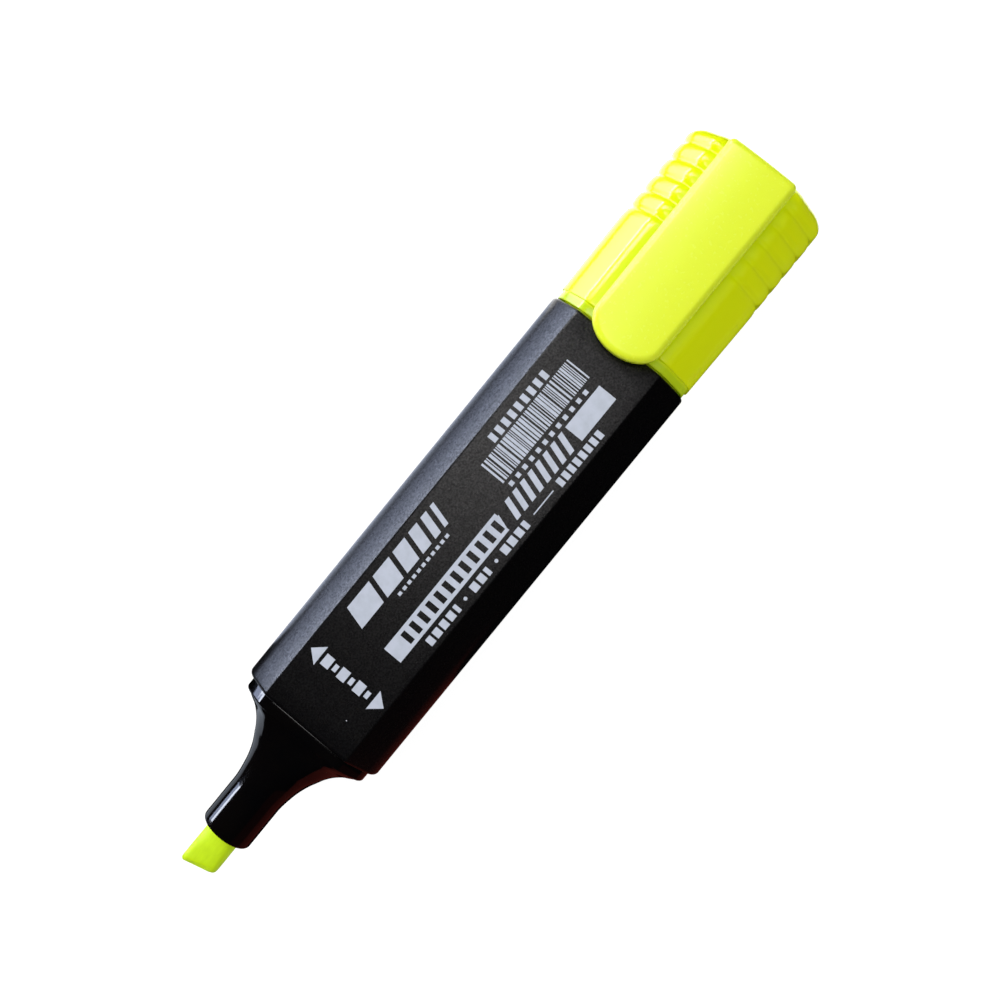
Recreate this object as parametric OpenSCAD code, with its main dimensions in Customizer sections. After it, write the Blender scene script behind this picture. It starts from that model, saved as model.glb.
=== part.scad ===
// Flat chisel-tip highlighter with the cap pushed on to the rear of the barrel.
// +X runs from the nib to the closed end of the cap, +Z is up, and the barrel
// lies on its flat underside on the plane z = 0.

/* [Body section] */
// Width of the flattened body, chamfer side to chamfer side
body_w = 22.8; // [21:0.1:25]
// Thickness of the body between its two flat faces
body_t = 15.5; // [15:0.1:18]
// Width of each flat face
flat_w = 14.25; // [12.5:0.05:14.6]
// Drop of each chamfer, from the flat face down to the side
chamfer_drop = 3.65; // [3:0.05:4.2]
// Rounding where a flat face meets a chamfer
edge_r = 0.6; // [0.3:0.1:1]
// Rounding where a chamfer meets the side
side_r = 4; // [2.5:0.1:4.2]

/* [Barrel] */
// Length of the barrel shell
barrel_l = 67.1; // [64:0.1:75]
// Wall of the barrel shell
barrel_wall = 1.5; // [1.3:0.1:1.6]
// Length of the solid ring at the front that the section screws into
ring_l = 8; // [7:0.5:9]

/* [Front section] */
// Distance from the barrel's front face to the end of the nozzle
section_out = 20.45; // [20:0.05:22]
// Length of the collar that the cap closes over
collar_l = 1.8; // [1.5:0.05:2.5]
// Step in from the barrel's surface to the collar's surface
collar_step = 1; // [0.8:0.1:1.2]
// Diameter of the round nozzle
nozzle_d = 7.85; // [7.4:0.05:8]
// Length of the flare between collar and nozzle
flare_l = 11.5; // [10.5:0.1:12]

/* [Nib] */
// Width of the chisel nib, which is the width of its broad stroke
nib_w = 5.2; // [4.7:0.1:5.3]
// Thickness of the chisel nib
nib_t = 3.4; // [3:0.1:3.6]
// Length of the nib outside the nozzle, on its long side
nib_out = 6.85; // [6:0.05:7.5]
// Slope of the writing edge
nib_slant = 15; // [8:1:20]

/* [Cap] */
// Length of the cap
cap_l = 30.8; // [30.6:0.05:33]
// Gap between the cap's mouth and the barrel's end
cap_gap = 0.25; // [0.2:0.05:0.4]
// Wall of the cap
cap_wall = 1.3; // [1.2:0.05:1.35]
// Number of grip notches along each side of the cap
notches = 5; // [3:1:5]
// Pitch of the grip notches
notch_pitch = 2.85; // [2.5:0.05:3]
// Distance from the cap's mouth to the first notch
notch_first = 16.1; // [14:0.1:16.5]

/* [Clip] */
// Width of the clip plate at its rear
clip_w = 11; // [9:0.1:11.5]
// Thickness of the clip plate
clip_t = 2; // [1.4:0.1:2.2]
// Clear gap between the clip and the cap's flat face
clip_gap = 1.5; // [0.8:0.1:2]
// How far the clip's tongue reaches past the cap's mouth
clip_over = 2.3; // [0:0.05:4]

/* [Reservoir] */
// Diameter of the ink reservoir over its wrapper
reservoir_d = 9.6; // [8.5:0.1:9.6]
// Wall of the reservoir's film wrapper
film = 0.15; // [0.1:0.05:0.25]

/* [Hidden] */
$fn = 64;

zc = body_t / 2;                         // height of the pen's axis
total = nib_out + section_out + barrel_l + cap_gap + cap_l;
x_tip = -total / 2;                      // nib's tip
x_noz = x_tip + nib_out;                 // nozzle's end
x_bf = x_noz + section_out;              // barrel's front face
x_br = x_bf + barrel_l;                  // barrel's rear face
x_cm = x_br + cap_gap;                   // cap's mouth
x_ce = x_cm + cap_l;                     // cap's closed end
x_col = x_bf - 0.08;                     // collar's rear face, just clear of the barrel
x_flare = x_col - collar_l;              // start of the flare
x_round = x_flare - flare_l;             // start of the round nozzle

chamfer_a = atan2(chamfer_drop, (body_w - flat_w) / 2);
bore_r = 6.05;                           // pitch radius of the coarse thread in the barrel
spigot_r = 5.98;                         // pitch radius of the coarse thread on the section
spigot_l = 5.9;                          // spigot's length inside the barrel
plug_in = 8;                             // plug's length inside the barrel
plug_out = 9.6;                          // post that the cap grips
plug_step = cap_wall + 0.2;              // post's step in from the body's surface
plug_wall = 1.2;
end_wall = 1.4;                          // cap's closed end
inner_l = 15;                            // inner cap's length from the closed end
notch_r = 0.75;
notch_depth = 0.42;
root_l = 5;                              // clip's root on the cap
x_root = x_ce - 1.15;                    // clip's rear edge
z_top = zc + body_t / 2;                 // upper flat face
res_r = reservoir_d / 2;

// Flattened hexagon, moved in by t from the body's surface, with rounded
// corners. Arcs have k steps and each straight run is cut into m pieces.
function corner_list(t) = let (
    a = flat_w / 2 - t * tan(chamfer_a / 2),
    h = body_t / 2 - t,
    w = body_w / 2 - t,
    c = body_t / 2 - chamfer_drop - t * tan((90 - chamfer_a) / 2))
    [[w, -c], [w, c], [a, h], [-a, h], [-w, c], [-w, -c], [-a, -h], [a, -h]];
function unit(v) = v / norm(v);
function arc_at(p, q, s, r, k) = let (      // rounds corner q between p and s
    u = unit(p - q), v = unit(s - q),
    half = acos(u * v) / 2,
    d = r / tan(half), o = q + unit(u + v) * (r / sin(half)),
    b = q + u * d - o, e = q + v * d - o,
    a0 = atan2(b[1], b[0]), sweep = 180 - 2 * half)
    [for (i = [0 : k]) o + r * [cos(a0 + sweep * i / k), sin(a0 + sweep * i / k)]];
function outline(t, k = 5, m = 1) = let (
    c = corner_list(t), n = len(c),
    rs = max(side_r - t, 0.3), re = max(edge_r - t, 0.25),
    arcs = [for (i = [0 : n - 1]) arc_at(c[(i + n - 1) % n], c[i], c[(i + 1) % n],
                                         abs(c[i][0]) > flat_w / 2 + 0.6 ? rs : re, k)])
    [for (i = [0 : n - 1]) each concat(arcs[i],
        [for (j = [1 : 1 : m - 1]) arcs[i][k] + (arcs[(i + 1) % n][0] - arcs[i][k]) * j / m])];

// Prism of the body's section from x0 to x1, moved in by t.
module body_prism(x0, x1, t, k = 5) {
    translate([x0, 0, zc]) rotate([90, 0, 90])
        linear_extrude(x1 - x0) polygon(outline(t, k));
}

// Plate outline with its corners at the x0 and x1 ends rounded by r0 and r1.
module round_ended(x0, x1, half, r0, r1) {
    function q(cx, cy, r, a0) = [for (i = [0 : 6]) [cx + r * cos(a0 + 15 * i), cy + r * sin(a0 + 15 * i)]];
    polygon(concat(q(x1 - r1, half - r1, r1, 0), q(x0 + r0, half - r0, r0, 90),
                   q(x0 + r0, -half + r0, r0, 180), q(x1 - r1, -half + r1, r1, 270)));
}

// Body prism whose ends are rounded in plan and in side view.
module body_shell(x0, x1, t, r0, r1, v0, v1) {
    intersection() {
        body_prism(x0, x1, t);
        translate([0, 0, -5]) linear_extrude(body_t + 10)
            round_ended(x0, x1, body_w / 2 - t, r0, r1);
        translate([0, body_w, zc]) rotate([90, 0, 0]) linear_extrude(2 * body_w)
            round_ended(x0, x1, body_t / 2 - t, v0, v1);
    }
}

// Round bar along X.
module bar(x0, x1, r) {
    translate([x0, 0, zc]) rotate([0, 90, 0]) cylinder(h = x1 - x0, r = r);
}
// Cone along X.
module cone(x0, x1, r0, r1) {
    translate([x0, 0, zc]) rotate([0, 90, 0]) cylinder(h = x1 - x0, r1 = r0, r2 = r1);
}

// Half-width of the flare at each tenth of its length, ahead of the collar.
flare = [9.65, 8.05, 6.97, 6.24, 5.69, 5.14, 4.7, 4.36, 4.12, 3.94, 3.825];

// Round nozzle and flare, turned about the pen's axis.
module turned_nose() {
    k = nozzle_d / 7.65; r = nozzle_d / 2; e = 0.5;
    translate([x_noz, 0, zc]) rotate([0, 90, 0]) rotate_extrude()
        polygon(concat([[0, 0]],
            [for (i = [0 : 5]) [r - e + e * sin(18 * i), e - e * cos(18 * i)]],
            [for (i = [10 : -1 : 0]) [flare[i] * k, x_flare - x_noz - flare_l * i / 10]],
            [[flare[0] * k, x_flare - x_noz + 0.5], [0, x_flare - x_noz + 0.5]]));
}

module barrel() {
    color("#16171a") difference() {
        body_shell(x_bf, x_br, 0, 0.7, 0.4, 0.5, 0.3);
        difference() {                       // main cavity, with two rows of ribs that centre the reservoir
            body_prism(x_bf + ring_l, x_br + 1, barrel_wall, 3);
            for (s = [-1, 1]) translate([x_bf + ring_l - 1, s > 0 ? res_r + 0.15 : -body_w, zc - 0.5])
                cube([barrel_l - ring_l - plug_in + 0.8, body_w - res_r - 0.15, 1]);
        }
        bar(x_bf - 1, x_bf + ring_l + 1, bore_r);
    }
}

module end_plug() {
    color("#c9e21f") union() {
        difference() {
            body_shell(x_br - plug_in, x_br + plug_out, plug_step, 0.3, 0.9, 0.3, 0.9);
            body_prism(x_br - plug_in - 1, x_br + plug_out - plug_wall, plug_step + plug_wall, 3);
        }
        // crossed stop ribs behind the reservoir
        translate([x_br - 5, -0.5, zc - body_t / 2 + plug_step + plug_wall - 0.2])
            cube([plug_out + 4.2, 1, body_t - 2 * (plug_step + plug_wall) + 0.4]);
        translate([x_br - 5, -body_w / 2 + plug_step + plug_wall - 0.2, zc - 0.5])
            cube([plug_out + 4.2, body_w - 2 * (plug_step + plug_wall) + 0.4, 1]);
        // snap beads that the cap's mouth clicks over
        for (s = [0, 1]) translate([x_br + 2.6, 0, zc]) rotate([180 * s, 0, 0])
            translate([0, -4, body_t / 2 - plug_step - 0.18]) rotate([-90, 0, 0]) cylinder(h = 8, r = 0.3, $fn = 24);
    }
}

module front_section() {
    color("#0c0c0e") difference() {
        union() {
            body_shell(x_flare, x_col, collar_step, 0.5, 0.15, 0.5, 0.15);
            intersection() {
                turned_nose();
                body_prism(x_noz - 1, x_flare + 1, collar_step + 0.5);
            }
            bar(x_col - 0.1, x_bf + spigot_l, spigot_r);
        }
        bar(x_col - 1, x_bf + spigot_l + 1, res_r + 0.12);          // reservoir's mouth
        cone(x_flare - 4.6, x_col - 0.99, 2.6, res_r + 0.12);
        bar(x_noz + 5.5, x_flare - 4.5, 2.0);                        // bore for the nib's stem
        translate([x_noz - 1, -nib_w / 2, zc - nib_t / 2]) cube([7.5, nib_w, nib_t]);
    }
}

module nib() {
    bevel = 0.7; edge = 0.55;                // bevel's length, and what it takes off each face
    color("#c8e61e") {
        intersection() {
            translate([0, 0, zc - nib_t / 2]) linear_extrude(nib_t) polygon([
                [x_tip, nib_w / 2], [x_tip + nib_w * tan(nib_slant), -nib_w / 2],
                [x_noz + 6.5, -nib_w / 2], [x_noz + 6.5, nib_w / 2]]);
            // wedge along the slanted writing edge, with a bevel on each face
            translate([x_tip, nib_w / 2, zc]) rotate([0, 0, nib_slant]) rotate([90, 0, 0])
                translate([0, 0, -10]) linear_extrude(30) polygon([
                    [0, edge - nib_t / 2], [bevel, -nib_t / 2], [30, -nib_t / 2],
                    [30, nib_t / 2], [bevel, nib_t / 2], [0, nib_t / 2 - edge]]);
        }
        bar(x_noz + 6.3, x_bf + 6, 1.5);
        cone(x_bf + 6, x_bf + 7.5, 1.5, 0.5);
    }
}

module ink_reservoir() {
    color("#d3e651") difference() {
        bar(x_bf - 0.9, x_br - 5.2, res_r - film);
        bar(x_bf - 2, x_bf + 6.2, 1.6);                              // hole that the nib's stem sits in
        cone(x_bf + 6.1, x_bf + 7.8, 1.6, 0.6);
    }
}

module reservoir_film() {
    color("#eef3d8") difference() {
        bar(x_bf - 0.7, x_br - 5.4, res_r);
        bar(x_bf - 2, x_br, res_r - film);
    }
}

// Rounded groove across a chamfer and down the side, at distance x.
module notch(x) {
    for (sy = [0, 1]) mirror([0, sy, 0]) {
        mx = (flat_w / 2 + body_w / 2) / 2;
        mz = body_t / 2 - chamfer_drop / 2;
        for (sz = [0, 1]) translate([x, 0, zc]) mirror([0, 0, sz]) translate([0, mx, mz])
            rotate([-chamfer_a, 0, 0]) translate([0, 0, notch_r - notch_depth]) rotate([90, 0, 0])
            translate([0, 0, -3.6]) cylinder(h = 6.3, r = notch_r, $fn = 24);
        translate([x, body_w / 2 + notch_r - notch_depth, zc - 4]) cylinder(h = 8, r = notch_r, $fn = 24);
    }
}

module cap() {
    color("#d7ee24") difference() {
        union() {
            body_shell(x_cm, x_ce, 0.25, 0.15, 3.4, 0.15, 2.6);
            body_shell(x_cm + 1.3, x_ce, 0, 0.2, 3.5, 0.2, 2.7);
        }
        body_prism(x_cm - 1, x_ce - end_wall, cap_wall, 3);
        body_prism(x_cm - 1, x_cm + collar_l + 0.3, collar_step - 0.1, 3);   // seat for the collar
        translate([x_cm + notch_first, 0, 0])
            for (i = [0 : notches - 1]) notch(i * notch_pitch);
        // pocket that takes the clip's root
        translate([x_root - root_l - 0.1, -clip_w / 2 + 0.4, z_top - 0.6]) cube([root_l - 0.6, clip_w - 0.8, 2]);
    }
}

module inner_cap() {
    color("#e9f4c0") difference() {
        union() {
            bar(x_ce - end_wall - inner_l, x_ce - end_wall, nozzle_d / 2 + 1.3);
            body_prism(x_ce - end_wall - 1.2, x_ce - end_wall, cap_wall + 0.05, 3);
        }
        bar(x_ce - end_wall - inner_l - 1, x_ce - end_wall - 1.2, nozzle_d / 2 + 0.06);
    }
}

// Plan of the clip plate: straight sides that narrow a little, and a tongue
// shaped as half an ellipse.
module clip_plan(t) {
    x1 = x_root - t; tongue = 3.7;
    wr = clip_w / 2 - t; wf = clip_w / 2 - 0.15 - t;
    xt = x_cm - clip_over; xe = xt + tongue;
    polygon(concat([for (i = [0 : 24]) let (a = 90 + 180 * i / 24) [xe + (tongue - t) * cos(a), wf * sin(a)]],
                   [for (i = [0 : 4]) let (a = -90 + 22.5 * i) [x1 - 0.6 + 0.6 * cos(a), -wr + 0.6 + 0.6 * sin(a)]],
                   [for (i = [0 : 4]) let (a = 22.5 * i) [x1 - 0.6 + 0.6 * cos(a), wr - 0.6 + 0.6 * sin(a)]]));
}

module pocket_clip() {
    zb = z_top + clip_gap;
    color("#e2f52e") union() {
        translate([0, 0, zb]) linear_extrude(clip_t - 0.6) clip_plan(0);
        translate([0, 0, zb + clip_t - 0.61]) linear_extrude(0.31) clip_plan(0.15);
        translate([0, 0, zb + clip_t - 0.31]) linear_extrude(0.31) clip_plan(0.5);
        // root, seated in the cap's pocket
        translate([x_root - root_l, -clip_w / 2 + 0.5, z_top - 0.55]) cube([root_l - 0.8, clip_w - 1, clip_gap + 0.6]);
        // nub that grips cloth or paper against the cap
        translate([x_cm + 1.6, 0, zb]) rotate([90, 0, 0]) translate([0, 0, -3]) cylinder(h = 6, r = 0.8, $fn = 32);
    }
}

barrel();
end_plug();
front_section();
nib();
ink_reservoir();
reservoir_film();
cap();
inner_cap();
pocket_clip();
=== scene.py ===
import bpy, math, random
from mathutils import Vector, Matrix, noise


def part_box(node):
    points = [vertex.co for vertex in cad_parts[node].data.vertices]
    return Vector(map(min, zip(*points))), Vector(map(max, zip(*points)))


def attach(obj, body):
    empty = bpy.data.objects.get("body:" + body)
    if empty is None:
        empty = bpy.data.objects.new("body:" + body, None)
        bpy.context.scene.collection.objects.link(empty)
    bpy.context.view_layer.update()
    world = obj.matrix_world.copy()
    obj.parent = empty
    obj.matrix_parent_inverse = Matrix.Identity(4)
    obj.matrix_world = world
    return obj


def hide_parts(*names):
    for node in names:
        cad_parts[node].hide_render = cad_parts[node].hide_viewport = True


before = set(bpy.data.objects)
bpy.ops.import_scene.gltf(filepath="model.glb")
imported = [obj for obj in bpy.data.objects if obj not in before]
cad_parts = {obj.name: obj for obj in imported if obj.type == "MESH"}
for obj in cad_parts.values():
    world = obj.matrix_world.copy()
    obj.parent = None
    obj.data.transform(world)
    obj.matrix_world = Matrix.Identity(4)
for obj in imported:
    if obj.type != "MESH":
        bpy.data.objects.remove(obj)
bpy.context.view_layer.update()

MM = 0.001
scene = bpy.context.scene

# ---------------------------------------------------------------- frame
lo_b, hi_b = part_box("barrel")
lo_c, hi_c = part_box("cap")
lo_n, hi_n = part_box("nib")
lo_k, hi_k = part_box("pocket_clip")
lo_f, hi_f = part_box("front_section")
lo_p, hi_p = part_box("end_plug")

W = (hi_b.y - lo_b.y) / MM           # body width, mm
T = (hi_b.z - lo_b.z) / MM           # body thickness
ZC = T / 2                           # height of the axis
X_BF, X_BR = lo_b.x / MM, hi_b.x / MM
X_CM, X_CE = lo_c.x / MM, hi_c.x / MM
X_TIP = lo_n.x / MM
X_NOZ = lo_f.x / MM
X_SPG = hi_f.x / MM
FLAT, DROP, SIDE_R, EDGE_R = 14.25, 3.65, 4.0, 0.6
CH = math.atan2(DROP, (W - FLAT) / 2)

# ---------------------------------------------------------------- camera
cam_data = bpy.data.cameras.new("camera")
cam = bpy.data.objects.new("camera", cam_data)
scene.collection.objects.link(cam)
cam_data.sensor_width = 36
cam_data.lens = 41.0
cam_data.clip_start, cam_data.clip_end = 0.01, 10
eye = Vector((8.42, -10.9, ZC + 160)) * MM
aim = Vector((5.12, -0.4, ZC)) * MM
back = (eye - aim).normalized()
e1 = Vector((1, 0, 0)) - back * back.x
e1.normalize()
e2 = back.cross(e1)
al = math.radians(50.75)
right = e1 * math.cos(al) - e2 * math.sin(al)
up = e1 * math.sin(al) + e2 * math.cos(al)
m = Matrix((right, up, back)).transposed().to_4x4()
m.translation = eye
cam.matrix_world = m
scene.camera = cam


# ---------------------------------------------------------------- mesh helpers
def corners(t):
    a = FLAT / 2 - t * math.tan(CH / 2)
    h = T / 2 - t
    w = W / 2 - t
    c = T / 2 - DROP - t * math.tan((math.pi / 2 - CH) / 2)
    return [(w, -c), (w, c), (a, h), (-a, h), (-w, c), (-w, -c), (-a, -h), (a, -h)]


def outline(t, k=8, m=10, side_r=None, edge_r=None, crown=0.0):
    """Flattened hexagon moved in by t: 8 arcs of k steps and 8 runs of m pieces.
    crown swells each chamfer's middle outwards."""
    c = corners(t)
    n = len(c)
    rs = max(SIDE_R - t, 0.3) if side_r is None else side_r
    re = max(EDGE_R - t * 0.4, 0.25) if edge_r is None else edge_r
    arcs = []
    for i in range(n):
        p, q, s = Vector(c[i - 1]), Vector(c[i]), Vector(c[(i + 1) % n])
        r = rs if abs(q.x) > FLAT / 2 + 0.6 else re
        u, v = (p - q).normalized(), (s - q).normalized()
        half = math.acos(max(-1, min(1, u.dot(v)))) / 2
        o = q + (u + v).normalized() * (r / math.sin(half))
        b = q + u * (r / math.tan(half)) - o
        a0 = math.atan2(b.y, b.x)
        sweep = math.pi - 2 * half
        arcs.append([o + r * Vector((math.cos(a0 + sweep * j / k), math.sin(a0 + sweep * j / k))) for j in range(k + 1)])
    out = []
    for i in range(n):
        out += arcs[i]
        e, f = arcs[i][-1], arcs[(i + 1) % n][0]
        d = (f - e).normalized()
        b = crown if abs(d.x) > 0.2 and abs(d.y) > 0.2 else 0.0
        out += [e.lerp(f, j / m) + Vector((d.y, -d.x)) * (4 * b * (j / m) * (1 - j / m)) for j in range(1, m)]
    return [(p.x, p.y) for p in out]


def round_ring(r, k=8, m=10, ref=0.0, rz=None):
    """Circle or ellipse with the same point count and bearing as outline()."""
    base = outline(ref, k, m)
    out = []
    for y, z in base:
        a = math.atan2(z / (T / 2 - ref), y / (W / 2 - ref))
        out.append((r * math.cos(a), (r if rz is None else rz) * math.sin(a)))
    return out


def put(x, pts):
    return [(x, y, ZC + z) for y, z in pts]


def mesh_object(name, verts, faces, body, material=None, sharp=None, smooth=True):
    me = bpy.data.meshes.new(name)
    me.from_pydata([tuple(c * MM for c in v) for v in verts], [], faces)
    me.validate()
    me.update()
    ob = bpy.data.objects.new(name, me)
    scene.collection.objects.link(ob)
    import bmesh
    bm = bmesh.new()
    bm.from_mesh(me)
    bmesh.ops.recalc_face_normals(bm, faces=bm.faces)
    if bm.calc_volume(signed=True) < 0:
        bmesh.ops.reverse_faces(bm, faces=bm.faces)
    bm.to_mesh(me)
    bm.free()
    if smooth:
        me.polygons.foreach_set("use_smooth", [True] * len(me.polygons))
        if sharp is not None:
            me.set_sharp_from_angle(angle=math.radians(sharp))
    if material:
        me.materials.append(material)
    if body:
        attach(ob, body)
    return ob


def loft(name, rings, body, material, wrap=False, sharp=35):
    """Closed skin through rings of one point count. wrap joins last to first;
    otherwise each end is closed on a centre point."""
    n = len(rings[0])
    verts = [p for r in rings for p in r]
    faces = []
    m = len(rings)
    for j in range(m if wrap else m - 1):
        a, b = j * n, ((j + 1) % m) * n
        for i in range(n):
            i2 = (i + 1) % n
            faces.append((a + i, b + i, b + i2, a + i2))
    if not wrap:
        for base, flip in ((0, False), ((m - 1) * n, True)):
            ring = verts[base:base + n]
            c = tuple(sum(p[q] for p in ring) / n for q in range(3))
            verts.append(c)
            ci = len(verts) - 1
            for i in range(n):
                tri = (ci, base + i, base + (i + 1) % n)
                faces.append(tri if not flip else tri[::-1])
    return mesh_object(name, verts, faces, body, material, sharp)


def corner_steps(r, n=6):
    """(along, in) pairs of a quarter round, from the face to the side."""
    return [(r - r * math.cos(math.radians(90 * i / n)), r - r * math.sin(math.radians(90 * i / n))) for i in range(n + 1)]


# ---------------------------------------------------------------- materials
def new_mat(name):
    mat = bpy.data.materials.new(name)
    mat.use_nodes = True
    nt = mat.node_tree
    for nd in list(nt.nodes):
        nt.nodes.remove(nd)
    out = nt.nodes.new("ShaderNodeOutputMaterial")
    bs = nt.nodes.new("ShaderNodeBsdfPrincipled")
    nt.links.new(bs.outputs[0], out.inputs[0])
    return mat, nt, bs


def coord(nt):
    return nt.nodes.new("ShaderNodeTexCoord").outputs["Object"]


def noise_node(nt, vec, scale, detail=4, rough=0.55, stretch=None, dist=0.0):
    if stretch:
        mp = nt.nodes.new("ShaderNodeMapping")
        mp.inputs["Scale"].default_value = stretch
        nt.links.new(vec, mp.inputs["Vector"])
        vec = mp.outputs[0]
    nd = nt.nodes.new("ShaderNodeTexNoise")
    nd.inputs["Scale"].default_value = scale
    nd.inputs["Detail"].default_value = detail
    nd.inputs["Roughness"].default_value = rough
    nd.inputs["Distortion"].default_value = dist
    nt.links.new(vec, nd.inputs["Vector"])
    return nd.outputs["Fac"]


def ramp(nt, fac, stops):
    nd = nt.nodes.new("ShaderNodeValToRGB")
    cr = nd.color_ramp
    while len(cr.elements) < len(stops):
        cr.elements.new(0.5)
    for el, (p, c) in zip(cr.elements, stops):
        el.position = p
        el.color = (*c, 1) if len(c) == 3 else c
    nt.links.new(fac, nd.inputs["Fac"])
    return nd.outputs["Color"]


def remap(nt, fac, a, b, lo, hi):
    nd = nt.nodes.new("ShaderNodeMapRange")
    for k, v in zip(("From Min", "From Max", "To Min", "To Max"), (a, b, lo, hi)):
        nd.inputs[k].default_value = v
    nt.links.new(fac, nd.inputs["Value"])
    return nd.outputs["Result"]


def bump(nt, bs, heights):
    """heights: [(output, strength, distance in metres)]"""
    prev = None
    for h, s, d in heights:
        b = nt.nodes.new("ShaderNodeBump")
        b.inputs["Strength"].default_value = s
        b.inputs["Distance"].default_value = d
        nt.links.new(h, b.inputs["Height"])
        if prev is not None:
            nt.links.new(prev, b.inputs["Normal"])
        prev = b.outputs["Normal"]
    nt.links.new(prev, bs.inputs["Normal"])


def g(*v):
    return tuple(v)


def mat_barrel():
    mat, nt, bs = new_mat("barrel_satin_black")
    co = coord(nt)
    grain = noise_node(nt, co, 3600, 2, 0.55)
    fine = noise_node(nt, co, 9000, 2, 0.6)
    mott = noise_node(nt, co, 700, 5, 0.65)
    warm = noise_node(nt, co, 1900, 3, 0.6)
    base = ramp(nt, warm, [(0.30, (0.0017, 0.0016, 0.0020)), (0.62, (0.0023, 0.0021, 0.0023)), (0.80, (0.0050, 0.0036, 0.0022))])
    nt.links.new(base, bs.inputs["Base Color"])
    nt.links.new(remap(nt, mott, 0.3, 0.7, 0.26, 0.30), bs.inputs["Roughness"])
    nt.links.new(remap(nt, grain, 0.34, 0.66, 0.18, 0.45), bs.inputs["Specular IOR Level"])
    bump(nt, bs, [(grain, 0.25, 0.000012), (fine, 0.2, 0.000006)])
    return mat


def mat_gloss_black():
    mat, nt, bs = new_mat("section_gloss_black")
    co = coord(nt)
    big = noise_node(nt, co, 160, 3, 0.5)
    fine = noise_node(nt, co, 2600, 2, 0.5)
    nt.links.new(ramp(nt, big, [(0.3, (0.0012, 0.0012, 0.0016)), (0.75, (0.0024, 0.0018, 0.0017))]), bs.inputs["Base Color"])
    nt.links.new(remap(nt, fine, 0.3, 0.7, 0.07, 0.12), bs.inputs["Roughness"])
    bump(nt, bs, [(big, 0.10, 0.00006), (fine, 0.08, 0.000005)])
    return mat


def mat_fluo(name, lo, hi, sss=0.20, painted_glow=0.03, rough=(0.22, 0.30), fine_bump=0.06, mouth=None):
    mat, nt, bs = new_mat(name)
    co = coord(nt)
    flow = noise_node(nt, co, 60, 4, 0.55, stretch=(0.35, 1, 1), dist=0.6)
    fine = noise_node(nt, co, 1800, 3, 0.55)
    col = ramp(nt, flow, [(0.25, lo), (0.8, hi)])
    if mouth:
        # painted shade: the cap's colour is darkened in a band at its mouth, standing in for the dark barrel seen
        # through the thin wall
        sep = nt.nodes.new("ShaderNodeSeparateXYZ")
        nt.links.new(co, sep.inputs[0])
        fac = remap(nt, sep.outputs["X"], mouth[0], mouth[1], 1.0, 0.0)
        mix = nt.nodes.new("ShaderNodeMix")
        mix.data_type = "RGBA"
        nt.links.new(fac, mix.inputs["Factor"])
        nt.links.new(col, mix.inputs["A"])
        mouth_painted_shade = ramp(nt, flow, [(0.25, (0.52, 0.70, 0.010)), (0.8, (0.58, 0.76, 0.016))])
        nt.links.new(mouth_painted_shade, mix.inputs["B"])
        col = mix.outputs["Result"]
    nt.links.new(col, bs.inputs["Base Color"])
    nt.links.new(remap(nt, fine, 0.3, 0.7, *rough), bs.inputs["Roughness"])
    bs.inputs["Subsurface Weight"].default_value = sss
    bs.inputs["Subsurface Radius"].default_value = (1.0, 1.2, 0.10)
    bs.inputs["Subsurface Scale"].default_value = 0.0007
    # painted light: a faint emission that lifts the shaded sides of the fluorescent plastic, which is no lamp
    bs.inputs["Emission Color"].default_value = (0.60, 0.78, 0.006, 1)
    bs.inputs["Emission Strength"].default_value = painted_glow
    bs.inputs["IOR"].default_value = 1.5
    bump(nt, bs, [(fine, fine_bump, 0.00001), (flow, 0.015, 0.0001)])
    return mat


def mat_nib():
    mat, nt, bs = new_mat("nib_porous_fibre")
    co = coord(nt)
    fib = noise_node(nt, co, 1500, 6, 0.7, stretch=(0.22, 1, 1))
    pores = nt.nodes.new("ShaderNodeTexVoronoi")
    pores.inputs["Scale"].default_value = 4200
    nt.links.new(co, pores.inputs["Vector"])
    wet = noise_node(nt, co, 260, 4, 0.6)
    col = ramp(nt, fib, [(0.25, (0.55, 0.80, 0.005)), (0.75, (0.64, 0.89, 0.009))])
    shade = ramp(nt, wet, [(0.3, (0.84, 0.86, 0.75)), (0.7, (1.0, 1.0, 1.0))])
    mul = nt.nodes.new("ShaderNodeMix")
    mul.data_type = "RGBA"
    mul.blend_type = "MULTIPLY"
    mul.inputs["Factor"].default_value = 1.0
    nt.links.new(col, mul.inputs["A"])
    nt.links.new(shade, mul.inputs["B"])
    nt.links.new(mul.outputs["Result"], bs.inputs["Base Color"])
    nt.links.new(remap(nt, wet, 0.3, 0.7, 0.40, 0.62), bs.inputs["Roughness"])
    bs.inputs["Subsurface Weight"].default_value = 0.15
    bs.inputs["Subsurface Radius"].default_value = (1.0, 1.2, 0.15)
    bs.inputs["Subsurface Scale"].default_value = 0.0004
    # painted light: a faint emission that lifts the nib's shaded side, though the nib is no lamp
    bs.inputs["Emission Color"].default_value = (0.45, 0.65, 0.004, 1)
    bs.inputs["Emission Strength"].default_value = 0.03
    bs.inputs["Specular IOR Level"].default_value = 0.35
    bump(nt, bs, [(fib, 0.12, 0.00002), (pores.outputs["Distance"], 0.25, 0.00002)])
    return mat


def mat_ink():
    mat, nt, bs = new_mat("print_silver_ink")
    co = coord(nt)
    fine = noise_node(nt, co, 3800, 4, 0.7)
    wear = noise_node(nt, co, 700, 5, 0.6)
    nt.links.new(ramp(nt, wear, [(0.25, (0.44, 0.48, 0.56)), (0.6, (0.52, 0.56, 0.66))]), bs.inputs["Base Color"])
    nt.links.new(remap(nt, fine, 0.3, 0.7, 0.45, 0.62), bs.inputs["Roughness"])
    bs.inputs["Metallic"].default_value = 0.0
    bump(nt, bs, [(fine, 0.3, 0.00001)])
    return mat


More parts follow.
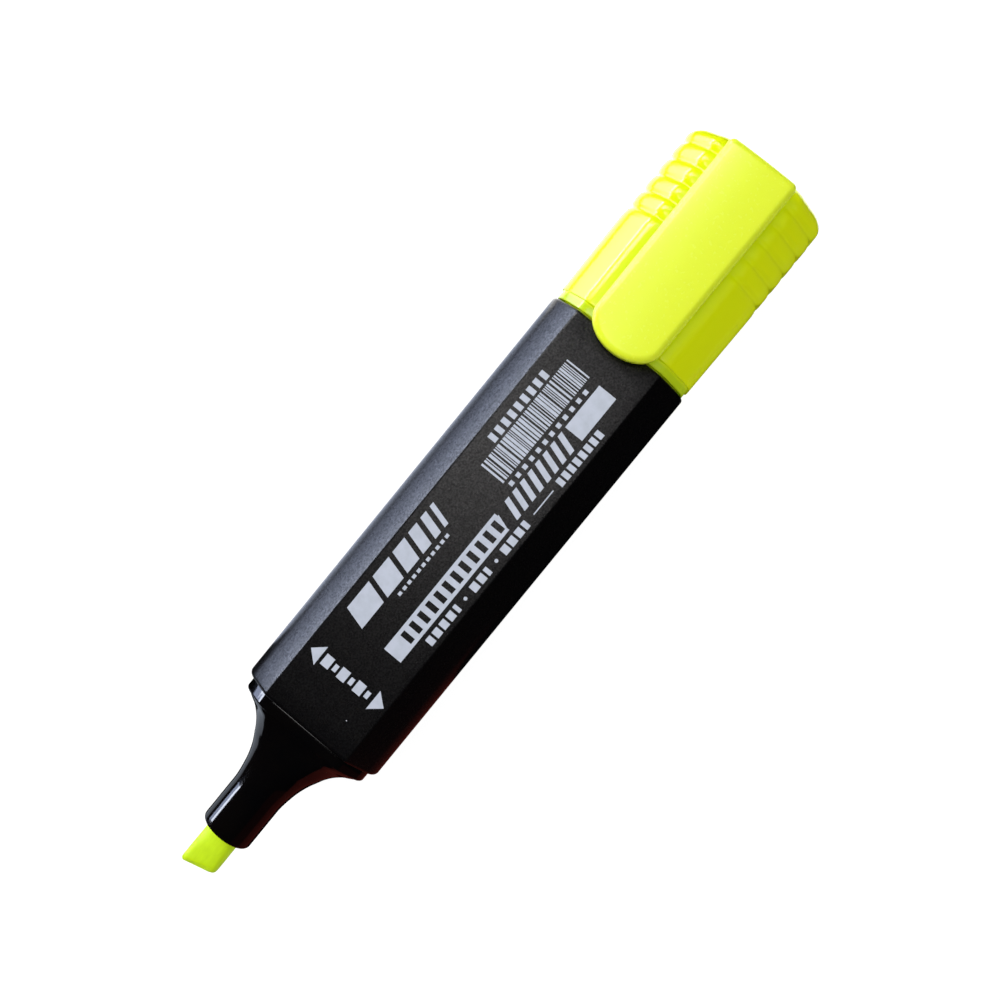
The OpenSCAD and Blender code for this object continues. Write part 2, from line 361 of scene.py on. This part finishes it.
def mat_liner():
    mat, nt, bs = new_mat("liner_milky")
    co = coord(nt)
    n1 = noise_node(nt, co, 300, 4, 0.6)
    n2 = noise_node(nt, co, 2400, 3, 0.6)
    nt.links.new(ramp(nt, n1, [(0.3, (0.70, 0.76, 0.30)), (0.75, (0.80, 0.85, 0.44))]), bs.inputs["Base Color"])
    nt.links.new(remap(nt, n2, 0.3, 0.7, 0.35, 0.5), bs.inputs["Roughness"])
    bs.inputs["Subsurface Weight"].default_value = 0.3
    bs.inputs["Subsurface Radius"].default_value = (1, 1, 0.5)
    bs.inputs["Subsurface Scale"].default_value = 0.001
    bump(nt, bs, [(n2, 0.15, 0.00001)])
    return mat


def mat_fibre_rod():
    mat, nt, bs = new_mat("reservoir_fibre")
    co = coord(nt)
    fib = noise_node(nt, co, 2600, 6, 0.75, stretch=(0.05, 1, 1))
    nt.links.new(ramp(nt, fib, [(0.3, (0.42, 0.60, 0.05)), (0.7, (0.66, 0.84, 0.18))]), bs.inputs["Base Color"])
    bs.inputs["Roughness"].default_value = 0.8
    bs.inputs["Sheen Weight"].default_value = 0.3
    bump(nt, bs, [(fib, 0.8, 0.0001)])
    return mat


def mat_film():
    mat, nt, bs = new_mat("wrapper_film")
    co = coord(nt)
    w = noise_node(nt, co, 90, 4, 0.5, stretch=(0.3, 1, 1))
    nt.links.new(ramp(nt, w, [(0.3, (0.70, 0.80, 0.28)), (0.7, (0.80, 0.88, 0.42))]), bs.inputs["Base Color"])
    nt.links.new(remap(nt, w, 0.3, 0.7, 0.12, 0.22), bs.inputs["Roughness"])
    bump(nt, bs, [(w, 0.3, 0.0001)])
    return mat


M_BARREL = mat_barrel()
M_GLOSS = mat_gloss_black()
# mouth= sets the band at the cap's mouth that is darkened as painted shade
M_CAP = mat_fluo("cap_fluorescent", (0.78, 0.89, 0.004), (0.83, 0.94, 0.006), rough=(0.13, 0.19), mouth=((X_CM + 0.9) * MM, (X_CM + 1.5) * MM))
# painted highlight: the clip gets a paler, bluer copy of the cap's colour, standing in for the glare on its lit top
M_CLIP = mat_fluo("clip_fluorescent", (0.80, 0.95, 0.030), (0.84, 0.98, 0.040), rough=(0.25, 0.28), fine_bump=0.004)
M_PLUG = mat_fluo("plug_fluorescent", (0.70, 0.82, 0.004), (0.76, 0.88, 0.008), rough=(0.26, 0.36))
M_NIB = mat_nib()
M_INK = mat_ink()
M_LINER = mat_liner()
M_ROD = mat_fibre_rod()
M_FILM = mat_film()

for n_, m_ in (("ink_reservoir", M_ROD), ("reservoir_film", M_FILM), ("inner_cap", M_LINER)):
    o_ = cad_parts[n_]
    o_.data.materials.clear()
    o_.data.materials.append(m_)

# ---------------------------------------------------------------- barrel
RING_END = X_BF + 8
BORE = 6.05
rings = []
for x, t in [(RING_END, None)]:
    rings.append(put(RING_END, round_ring(BORE)))
for x in (RING_END - 3, X_BF + 0.35):
    rings.append(put(x, round_ring(BORE)))
rings.append(put(X_BF + 0.1, round_ring(BORE + 0.08)))
rings.append(put(X_BF, round_ring(BORE + 0.25)))
rings.append(put(X_BF, outline(1.05)))
for al_, t_ in corner_steps(0.62, 7):
    rings.append(put(X_BF + al_, outline(t_, crown=0.05 * al_ / 0.62)))
for i in range(1, 24):
    rings.append(put(X_BF + 0.62 + (X_BR - X_BF - 0.62 - 0.4) * i / 24, outline(0, crown=0.05)))
for al_, t_ in reversed(corner_steps(0.4, 6)):
    rings.append(put(X_BR - al_, outline(t_, crown=0.05)))
rings.append(put(X_BR, outline(1.15)))
rings.append(put(X_BR - 0.05, outline(1.45)))
rings.append(put(X_BR - 0.4, outline(1.5)))
for i in range(1, 8):
    rings.append(put(X_BR - 0.4 - (X_BR - 0.4 - RING_END - 0.3) * i / 7, outline(1.5)))
rings.append(put(RING_END + 0.05, outline(1.7)))
rings.append(put(RING_END, round_ring(BORE + 0.02)))
rings.pop()
barrel = loft("barrel_shell", rings, "barrel_body", M_BARREL, wrap=True, sharp=30)
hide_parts("barrel")

# ---------------------------------------------------------------- front section
CS = 1.0                                   # collar's step in
X_COL = X_BF - 0.08
X_FL = X_COL - 1.8
FL_L = 11.5
NR = 3.925
FLARE = [9.9, 8.26, 7.15, 6.4, 5.84, 5.27, 4.82, 4.47, 4.23, 4.04, 3.925]


def flare_at(u):
    s = u * 10
    i = min(9, int(s))
    f = s - i
    p = [FLARE[max(0, min(10, i + k))] for k in (-1, 0, 1, 2)]
    return 0.5 * (2 * p[1] + (p[2] - p[0]) * f + (2 * p[0] - 5 * p[1] + 4 * p[2] - p[3]) * f * f + (3 * p[1] - p[0] - 3 * p[2] + p[3]) * f ** 3)


def nose_ring(u):
    w = flare_at(u)
    w1, h1 = W / 2 - CS, T / 2 - CS
    h = NR + (h1 - 0.42 - NR) * (w - NR) / (9.9 - NR)
    s = min(1, u * 1.35)
    s = s * s * (3 - 2 * s)
    out = []
    for y, z in outline(CS, edge_r=3.0, crown=0.06):
        a = math.atan2(z / h1, y / w1)
        out.append(((1 - s) * y * w / w1 + s * w * math.cos(a), (1 - s) * z * h / h1 + s * h * math.sin(a)))
    return out


def slot_ring(hw, hh, r=0.35):
    """Rounded rectangle with the shared point count."""
    out = []
    for y, z in outline(0):
        a = math.atan2(z / (T / 2), y / (W / 2))
        c, s = math.cos(a), math.sin(a)
        p = 9.0
        k = (abs(c) ** p + abs(s) ** p) ** (-1 / p)
        out.append((hw * c * k, hh * s * k))
    return out


rings = []
rings.append(put(X_NOZ + 7, slot_ring(2.64, 1.75)))
rings.append(put(X_NOZ + 0.25, slot_ring(2.64, 1.75)))
rings.append(put(X_NOZ + 0.02, slot_ring(2.78, 1.9)))
rings.append(put(X_NOZ, round_ring(3.12, rz=3.02)))
for al_, t_ in corner_steps(0.55, 8):
    rings.append(put(X_NOZ + al_, round_ring(NR - t_)))
for i in range(1, 9):
    rings.append(put(X_NOZ + 0.55 + (X_FL - FL_L - X_NOZ - 0.55) * i / 8, round_ring(NR)))
for i in range(1, 37):
    rings.append(put(X_FL - FL_L + FL_L * i / 36, nose_ring(1 - i / 36)))
for al_, t_ in corner_steps(0.4, 6)[1:]:
    rings.append(put(X_FL + al_, outline(CS + t_, edge_r=3.0, crown=0.06)))
rings.append(put(X_COL - 0.5, outline(CS, edge_r=3.0, crown=0.06)))
for al_, t_ in reversed(corner_steps(0.05, 3)):
    rings.append(put(X_COL - al_, outline(CS + t_, edge_r=3.0, crown=0.06)))
rings.append(put(X_COL, round_ring(6.3)))
rings.append(put(X_COL, round_ring(5.98)))
# plain spigot, kept inside the barrel's bore
x_a, x_b = X_COL + 0.1, X_SPG - 0.3
for i in range(0, 41):
    f = i / 40
    rings.append(put(x_a + (x_b - x_a) * f, round_ring(5.98)))
rings.append(put(X_SPG, round_ring(5.7)))
rings.append(put(X_SPG, round_ring(5.1)))
rings.append(put(X_SPG - 0.1, round_ring(4.92)))
rings.append(put(X_COL - 0.99, round_ring(4.92)))
rings.append(put(X_FL - 4.5, round_ring(2.6)))
rings.append(put(X_NOZ + 7.05, round_ring(2.6)))
section = loft("front_section_shell", rings, "section_body", M_GLOSS, wrap=True, sharp=40)
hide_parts("front_section")

# ---------------------------------------------------------------- nib
NW, NT, SL = 5.2, 3.4, math.radians(15)


def nib_mesh():
    """Chisel nib: oval near the nozzle, a flat slanted wedge at its tip."""
    hw, ht = NW / 2, NT / 2
    xb = X_NOZ + 6.4
    ta = math.tan(SL)
    # plan, from the rear round the tip and back, in equal numbers on both sides
    half = []
    for i in range(44):
        f = i / 43
        half.append((xb + (X_TIP + 0.75 - xb) * (f ** 0.85), hw))
    for i in range(1, 9):
        a = math.radians(90 + 75 * i / 8)
        half.append((X_TIP + 0.62 + 0.56 * math.cos(a), hw - 0.45 + 0.45 * math.sin(a)))
    for i in range(1, 12):
        y = hw - 0.40 - (hw - 0.40) * i / 11
        half.append((X_TIP + (hw - y) * ta, y))
    other = []
    for i in range(44):
        f = i / 43
        other.append((xb + (X_TIP + 2 * hw * ta + 0.55 - xb) * (f ** 0.85), -hw))
    for i in range(1, 9):
        a = math.radians(-90 - 100 * i / 8)
        other.append((X_TIP + 2 * hw * ta + 0.44 + 0.50 * math.cos(a), -hw + 0.5 + 0.5 * math.sin(a)))
    for i in range(1, 12):
        y = -hw + 0.42 + (hw - 0.42) * i / 11
        other.append((X_TIP + (hw - y) * ta, y))
    plan = half + other[::-1][1:]
    n = len(plan)
    K = 26
    verts = []
    for k in range(K + 1):
        ph = math.radians(-86 + 172 * k / K)
        c, sn = math.cos(ph), math.sin(ph)
        for x, y in plan:
            back_ = max(0.0, x - (X_TIP + (hw - y) * ta))          # distance behind the writing edge
            g_ = min(1.0, back_ / 5.5)
            p = 5.2 - 2.8 * g_
            cc = c ** (2 / p)
            ss = math.copysign(abs(sn) ** (2 / p), sn)
            e = min(1.0, back_ / 1.1)
            th = ht * (0.70 + 0.30 * math.sin(e * math.pi / 2))
            lean = 0.30 * (1 - c ** 0.5) * max(0.0, 1 - back_ / 1.2)
            nz = noise.noise(Vector((x * 1.3, y * 2.2, sn * 3))) * 0.03
            lean += y * (1 - cc) * ta * max(0.0, 1 - back_ / 2.5)
            verts.append((x + lean, y * (cc * (1 - 0.004)) + nz * 0.4 * (0 if x > X_NOZ else 1),
                          ZC + th * ss * 0.995 + nz * (0 if x > X_NOZ else 1) * (1 if abs(ss) < 0.97 else 0.3)))
    faces = []
    for k in range(K):
        for i in range(n):
            j = (i + 1) % n
            faces.append((k * n + i, k * n + j, (k + 1) * n + j, (k + 1) * n + i))
    for base, flip in ((0, True), (K * n, False)):
        for i in range(n // 2):
            q = (base + i, base + i + 1, base + n - 2 - i, base + n - 1 - i)
            if len(set(q)) < 4:
                q = tuple(dict.fromkeys(q))
            if len(q) > 2:
                faces.append(q[::-1] if flip else q)
    return mesh_object("nib_chisel", verts, faces, "section_body", M_NIB, sharp=60)


nib = nib_mesh()
stem_rings = []
xs_, xe_ = X_NOZ + 6.3, X_BF + 6
stem_rings.append(put(xs_, round_ring(1.3)))
for i in range(0, 13):
    stem_rings.append(put(xs_ + 0.2 + (xe_ - xs_ - 0.2) * i / 12, round_ring(1.5)))
stem_rings.append(put(X_BF + 7.4, round_ring(0.5)))
stem = loft("nib_stem", stem_rings, "section_body", M_NIB, sharp=50)
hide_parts("nib")
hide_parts("nib")

# ---------------------------------------------------------------- end plug
X_PE = hi_p.x / MM
X_PI = lo_p.x / MM
PS = 1.5
rings = []
rings.append(put(X_PE - 1.25, outline(2.9)))
rings.append(put(X_PI + 0.3, outline(2.7)))
rings.append(put(X_PI, outline(2.4)))
for al_, t_ in corner_steps(0.25, 3):
    rings.append(put(X_PI + al_, outline(PS + 0.005 + t_)))
for i in range(1, 30):
    x = X_PI + 0.25 + (X_PE - 0.9 - X_PI - 0.25) * i / 30
    rings.append(put(x, outline(PS + 0.005)))
for al_, t_ in reversed(corner_steps(0.9, 8)):
    rings.append(put(X_PE - al_, outline(PS + 0.005 + t_)))
rings.append(put(X_PE - 0.04, outline(3.4)))
rings.append(put(X_PE - 0.5, outline(3.6)))
rings.append(put(X_PE - 0.55, outline(5.0)))
plug = loft("end_plug_cup", rings, "barrel_body", M_PLUG, sharp=35)
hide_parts("end_plug")

# ---------------------------------------------------------------- cap
CW = 1.3
NOTCH0, PITCH, NN, DEPTH = 16.1, 2.85, 5, 0.40


def cap_ring(x, t, sy=1.0, sz=1.0, cut=0.0):
    """Outer ring of the cap: t in, scaled, with notch depth cut on the sides and chamfers."""
    base = outline(t, 8, 10, edge_r=2.2, crown=0.02)
    nrm = []
    n = len(base)
    for i in range(n):
        a, b = Vector(base[i - 1]), Vector(base[(i + 1) % n])
        d = (b - a).normalized()
        nrm.append(Vector((d.y, -d.x)))
    out = []
    for (y, z), nv in zip(base, nrm):
        ay = abs(y)
        wgt = 1.0 if ay > 7.05 else max(0.0, min(1.0, (ay - 4.6) / 2.0))
        wgt = wgt * wgt * (3 - 2 * wgt)
        out.append(((y - nv.x * cut * wgt) * sy, (z - nv.y * cut * wgt) * sz))
    return put(x, out)


def notch_cut(x):
    """Depth of the scallops at x: soft cushions with narrow valleys."""
    d = x - (X_CM + NOTCH0)
    if d < -1.3 or d > (NN - 1) * PITCH + 1.3:
        return 0.0
    k = round(d / PITCH)
    k = max(0, min(NN - 1, k))
    e = abs(d - k * PITCH)
    v = math.exp(-(e / 0.42) ** 2) * 0.62 + math.exp(-(e / 0.95) ** 2) * 0.38
    return DEPTH * v


rings = []
XI = X_CE - 1.4
rings.append(put(XI, outline(4.5)))
rings.append(put(XI, outline(2.0)))
for al_, t_ in corner_steps(0.7, 5):
    rings.append(put(XI - al_, outline(CW + t_)))
for i in range(1, 12):
    rings.append(put(XI - 0.7 - (XI - 0.7 - X_CM - 0.3) * i / 11, outline(CW)))
rings.pop()
rings.append(put(X_CM + 2.15, outline(CW)))
rings.append(put(X_CM + 2.05, outline(0.92)))
rings.append(put(X_CM + 0.10, outline(0.90)))
rings.append(put(X_CM, outline(0.80)))
RIM = 0.40
for al_, t_ in corner_steps(0.2, 4):
    rings.append(cap_ring(X_CM + al_, RIM + t_))
rings.append(cap_ring(X_CM + 1.20, RIM))


def taper(x):
    """The cap is a little slimmer at its mouth than at the grip."""
    return 0.16 * max(0.0, 1 - (x - X_CM) / 13.0)


for al_, t_ in corner_steps(0.22, 5):
    rings.append(cap_ring(X_CM + 1.3 + al_, taper(X_CM + 1) + t_))
x = X_CM + 1.8
RX, RY, RZ = 2.5, 3.5, 2.2
x_end = X_CE - RX
while x < x_end:
    rings.append(cap_ring(x, taper(x), cut=notch_cut(x)))
    x += 0.6 if x < X_CM + NOTCH0 - 2 else 0.16
for i in range(0, 17):
    a = math.radians(90 * i / 16)
    xx = x_end + RX * math.sin(a)
    sy = (W / 2 - RY * (1 - math.cos(a))) / (W / 2)
    sz = (T / 2 - RZ * (1 - math.cos(a))) / (T / 2)
    rings.append(cap_ring(xx, 0.0, sy, sz, cut=notch_cut(xx)))
sy0, sz0 = sy, sz
for f in (0.8, 0.5, 0.2):
    rings.append(cap_ring(X_CE, 0.0, sy0 * f, sz0 * f))
cap = loft("cap_shell", rings, "cap_body", M_CAP, sharp=38)
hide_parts("cap")

# ---------------------------------------------------------------- clip
XR = hi_k.x / MM
XT = lo_k.x / MM
Z_TOP = T
Z_KT = hi_k.z / MM
KT = 2.0
Z_KB = Z_KT - KT
CW2 = (hi_k.y - lo_k.y) / MM / 2
TONGUE, CROWN, EDGE_A, EDGE_B = 3.7, 0.26, 0.95, 0.75


def clip_outline(d, n_t=56, n_s=40, n_c=8, n_r=16):
    """Plan of the clip moved in by d."""
    pts = []
    wf, wr = CW2 - 0.12 - d, CW2 - d
    ta = TONGUE * max(wf, 0.02) / (CW2 - 0.12)
    xe = XT + d + ta
    for i in range(n_t + 1):
        a = math.radians(90 + 180 * i / n_t)
        pts.append((xe + ta * math.cos(a), wf * math.sin(a)))
    r = max(0.85 - d * 0.5, 0.1)
    x1 = XR - d
    for i in range(1, n_s):
        f = i / n_s
        pts.append((xe + (x1 - r - xe) * f, -(wf + (wr - wf) * f)))
    for i in range(n_c + 1):
        a = math.radians(-90 + 90 * i / n_c)
        pts.append((x1 - r + r * math.cos(a), -wr + r + r * math.sin(a)))
    for i in range(1, n_r):
        pts.append((x1, (-wr + r) + 2 * (wr - r) * i / n_r))
    for i in range(n_c + 1):
        a = math.radians(90 * i / n_c)
        pts.append((x1 - r + r * math.cos(a), wr - r + r * math.sin(a)))
    for i in range(1, n_s):
        f = 1 - i / n_s
        pts.append((xe + (x1 - r - xe) * f, (wf + (wr - wf) * f)))
    return pts


def clip_ring(d, z):
    return [(x, y, z) for x, y in clip_outline(d)]


def clip_top(d, drop):
    """Ring on the upper face: crowned across its width, rounded down by drop."""
    return [(x, y, Z_KT - CROWN * (y / CW2) ** 2 - drop) for x, y in clip_outline(d)]


rings = [clip_ring(5.2, Z_KB), clip_ring(2.0, Z_KB), clip_ring(0.5, Z_KB)]
for al_, t_ in corner_steps(0.22, 4):
    rings.append(clip_ring(t_, Z_KB + al_))
for i in range(0, 15):
    a = math.radians(90 * i / 14)
    rings.append(clip_top(EDGE_A * (1 - math.cos(a)), EDGE_B * (1 - math.sin(a))))
for d in (1.7, 2.2, 2.8, 3.5, 4.2, 4.8, 5.2):
    rings.append(clip_top(d, 0.0))
clip = loft("clip_plate", rings, "clip_body", M_CLIP, sharp=50)
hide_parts("pocket_clip")


def rounded_box(name, x0, x1, y0, y1, z0, z1, r, body, mat, seg=4):
    import bmesh
    bm = bmesh.new()
    bmesh.ops.create_cube(bm, size=1)
    for v in bm.verts:
        v.co = Vector(((x0 + x1) / 2 + v.co.x * (x1 - x0), (y0 + y1) / 2 + v.co.y * (y1 - y0), (z0 + z1) / 2 + v.co.z * (z1 - z0))) * MM
    bmesh.ops.bevel(bm, geom=list(bm.edges), offset=r * MM, segments=seg, profile=0.5, affect="EDGES")
    me = bpy.data.meshes.new(name)
    bm.to_mesh(me)
    bm.free()
    me.polygons.foreach_set("use_smooth", [True] * len(me.polygons))
    me.set_sharp_from_angle(angle=math.radians(40))
    ob = bpy.data.objects.new(name, me)
    scene.collection.objects.link(ob)
    me.materials.append(mat)
    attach(ob, body)
    return ob


root = rounded_box("clip_root", XR - 5, XR - 0.85, -CW2 + 0.5, CW2 - 0.5, Z_TOP - 0.5, Z_KB + 0.1, 0.1, "clip_body", M_CLIP)
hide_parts("pocket_clip")
# nub under the tongue
nub_r = []
for i in range(0, 13):
    y = -3.0 + 6.0 * i / 12
    s = math.sqrt(max(0.0, 1 - ((i - 6) / 6.3) ** 2)) * 0.35 + 0.65
    nub_r.append([(X_CM + 1.6 + 1.1 * math.cos(math.radians(15 * j)) * s, y, Z_KB + 0.02 - 0.75 * abs(math.sin(math.radians(15 * j))) * s) for j in range(13)])
nub = loft("clip_nub", nub_r, "clip_body", M_CLIP, sharp=60)
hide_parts("pocket_clip")

# ---------------------------------------------------------------- print
INK_T = 0.02
ink_verts, ink_faces = [], []


def slab(poly):
    """Thin closed slab over the top face, from a counter-clockwise plan."""
    b = len(ink_verts)
    n = len(poly)
    for z in (T - 0.02, T + INK_T):
        for x, y in poly:
            ink_verts.append((x, y, z))
    ink_faces.append(tuple(b + n + i for i in range(n)))
    ink_faces.append(tuple(b + i for i in reversed(range(n))))
    for i in range(n):
        j = (i + 1) % n
        ink_faces.append((b + i, b + j, b + n + j, b + n + i))


def rect(x0, x1, y0, y1, skew=0.0):
    slab([(x0, y0), (x1, y0), (x1 + skew, y1), (x0 + skew, y1)])


def disc(cx, cy, r, n=20):
    slab([(cx + r * math.cos(2 * math.pi * i / n), cy + r * math.sin(2 * math.pi * i / n)) for i in range(n)])


# The print is laid out in mm: u behind a line 0.9 mm ahead of the barrel's front face, v up from the centre line.
U = X_BF - 0.9
# double arrow: a shaft of short bars between two arrowheads
slab([(U + 8.45, 4.50), (U + 11.60, 4.50), (U + 10.02, 6.25)])
slab([(U + 11.60, -4.70), (U + 8.45, -4.70), (U + 10.02, -6.55)])
for i, (a, b) in enumerate(((2.65, 4.00), (1.60, 2.25), (-0.15, 1.20), (-1.20, -0.55), (-2.95, -1.60), (-4.00, -3.35))):
    w_ = 0.87 if i % 2 == 0 else 0.53
    rect(U + 10.02 - w_, U + 10.02 + w_, a, b)
# emblem: leaning bars that narrow along the barrel
u = 16.40
for w_ in (4.65, 3.45, 2.55, 1.80, 1.20, 0.75):
    rect(U + u, U + u + w_, 2.50, 5.90, 0.9)
    u += w_ + 0.80
# thin dashed line under it
for i in range(11):
    rect(U + 23.05 + i, U + 23.65 + i, 1.30, 1.78)
# row of small squares over the striped block
for i in range(9):
    rect(U + 47.10 + i * 1.35, U + 47.90 + i * 1.35, 4.45, 5.80)
# striped block
rnd = random.Random(11)
u = 43.60
while u < 61.8:
    w_ = rnd.choice((0.15, 0.15, 0.23, 0.31, 0.43))
    rect(U + u, U + min(u + w_, 61.9), 0.18, 4.05)
    u += w_ + rnd.choice((0.13, 0.16, 0.24, 0.32))
# tick row under the block
for i in range(12):
    rect(U + 44.0 + i * 1.42, U + 44.67 + i * 1.42, -1.02, -0.35)
# long bar with a slanted end, pierced by a row of openings
rect(U + 16.25, U + 39.75, -2.02, -1.50)
rect(U + 16.25, U + 39.30, -4.42, -3.90)
u = 16.25
for i in range(12):
    rect(U + u, U + 19.05 + i * 1.74, -3.90, -2.02)
    u = 19.92 + i * 1.74
slab([(U + u, -3.90), (U + 39.35, -3.90), (U + 39.95, -2.02), (U + u, -2.02)])
# leaning strokes beside it
for i in range(8):
    rect(U + 40.95 + i * 1.60, U + 41.82 + i * 1.60, -4.42, -1.50, 0.9)
# solid block
rect(U + 54.65, U + 61.85, -4.42, -1.50)
# line of dashes, dots and a rule
for a, b in ((20.65, 21.60), (22.0, 23.05), (23.45, 24.50), (24.90, 25.95), (26.40, 27.00), (29.90, 31.00), (31.40, 32.45),
             (32.85, 33.50), (36.40, 37.50), (37.85, 38.95), (39.35, 40.40), (40.80, 41.55)):
    rect(U + a, U + b, -6.30, -5.05)
disc(U + 28.45, -5.70, 0.27)
disc(U + 35.00, -5.70, 0.27)
rect(U + 42.95, U + 47.10, -5.73, -5.56)
for i in range(8):
    rect(U + 48.20 + i * 1.16, U + 49.0 + i * 1.16, -6.30, -5.05)
disc(U + 5.55, -3.70, 0.09, 10)
ink = mesh_object("print_graphics", ink_verts, ink_faces, "barrel_body", M_INK, smooth=False)

# ---------------------------------------------------------------- stage
def stage_plane(name, size, z=0.0):
    me = bpy.data.meshes.new(name)
    s = size / 2
    me.from_pydata([(-s, -s, z), (s, -s, z), (s, s, z), (-s, s, z)], [], [(0, 1, 2, 3)])
    ob = bpy.data.objects.new(name, me)
    scene.collection.objects.link(ob)
    mat, nt, bs = new_mat(name + "_matte")
    nz = noise_node(nt, coord(nt), 40, 3, 0.5)
    nt.links.new(ramp(nt, nz, [(0.3, (0.20, 0.20, 0.20)), (0.7, (0.22, 0.22, 0.22))]), bs.inputs["Base Color"])
    bs.inputs["Roughness"].default_value = 0.9
    bs.inputs["Specular IOR Level"].default_value = 0.0
    bs.inputs["Emission Color"].default_value = (1.0, 1.0, 1.0, 1)
    bs.inputs["Emission Strength"].default_value = 0.92
    me.materials.append(mat)
    return ob


floor = stage_plane("floor", 12.0, -0.00002)
floor.visible_glossy = False


def area(name, loc, target, sx, sy, power, color=(1, 1, 1), glossy=True, diffuse=True):
    ld = bpy.data.lights.new(name, "AREA")
    ld.shape = "RECTANGLE"
    ld.size, ld.size_y = sx, sy
    ld.energy = power
    ld.color = color
    ob = bpy.data.objects.new(name, ld)
    scene.collection.objects.link(ob)
    ob.location = loc
    d = (Vector(loc) - Vector(target)).normalized()
    ob.rotation_euler = d.to_track_quat("Z", "Y").to_euler()
    ob.visible_camera = False
    ob.visible_glossy = glossy
    ob.visible_diffuse = diffuse
    return ob


area("overhead_fill", (0.0, -0.2, 1.2), (0, 0, 0), 1.6, 1.6, 12.0, glossy=False)
area("key", (0.0, 0.95, 0.62), (0, 0, 0.01), 0.8, 0.3, 12.0, glossy=False)
# what the glossy faces mirror: a low window with a brighter band above it, and soft panels overhead
area("window", (0.125, 1.0, 0.09), (0.125, 0, 0.01), 1.25, 0.24, 4.6, color=(0.80, 0.92, 1.30), diffuse=False)
area("window_band", (0.125, 0.97, 0.285), (0.125, 0, 0.01), 1.25, 0.17, 11.5, color=(0.90, 0.97, 1.14), diffuse=False)
area("softbox", (0.040, 0.155, 1.0), (0, 0, 0), 0.20, 0.25, 0.78, color=(1.0, 0.97, 0.97), diffuse=False)
area("softbox_rear", (0.45, 0.36, 1.0), (0, 0, 0), 0.26, 0.25, 1.4, diffuse=False)
area("panel", (0.36, 0.72, 0.78), (0, 0, 0), 0.40, 0.20, 3.2, diffuse=False)
area("panel_high", (0.36, 0.53, 0.95), (0, 0, 0), 0.40, 0.16, 2.4, diffuse=False)
area("table_glow_nib", (-0.062, 0.020, 0.0006), (-0.062, 0.020, 1), 0.030, 0.020, 0.0012, color=(0.86, 0.96, 1.12), diffuse=False)
area("table_glow", (0.000, 0.038, 0.0006), (0.000, 0.038, 1), 0.066, 0.045, 0.0150, color=(0.84, 0.94, 1.20), diffuse=False)
area("table_glow_cap", (0.052, 0.034, 0.0006), (0.052, 0.034, 1), 0.038, 0.040, 0.014, diffuse=False)
area("table_glow_end", (0.092, 0.0, 0.0006), (0.092, 0.0, 1), 0.050, 0.030, 0.009, diffuse=False)
area("warm_panel", (-0.55, -1.0, 0.28), (0, 0, 0.01), 0.44, 0.9, 0.060, color=(1.0, 0.14, 0.10), diffuse=False)
area("warm_glow", (-0.085, -0.060, 0.0006), (-0.085, -0.060, 1), 0.13, 0.10, 0.0068, color=(1.0, 0.14, 0.10), diffuse=False)

world = bpy.data.worlds.new("world")
scene.world = world
world.use_nodes = True
bg = world.node_tree.nodes["Background"]
bg.inputs[0].default_value = (1.0, 1.0, 1.0, 1)
bg.inputs[1].default_value = 1.0
# a pale backdrop for the camera; the studio lights alone light the pen
world.cycles_visibility.diffuse = False
world.cycles_visibility.glossy = False
world.cycles_visibility.transmission = False
world.cycles_visibility.scatter = False

scene.view_settings.view_transform = "Standard"
scene.view_settings.look = "None"
scene.view_settings.exposure = 0.0
scene.view_settings.gamma = 1.0
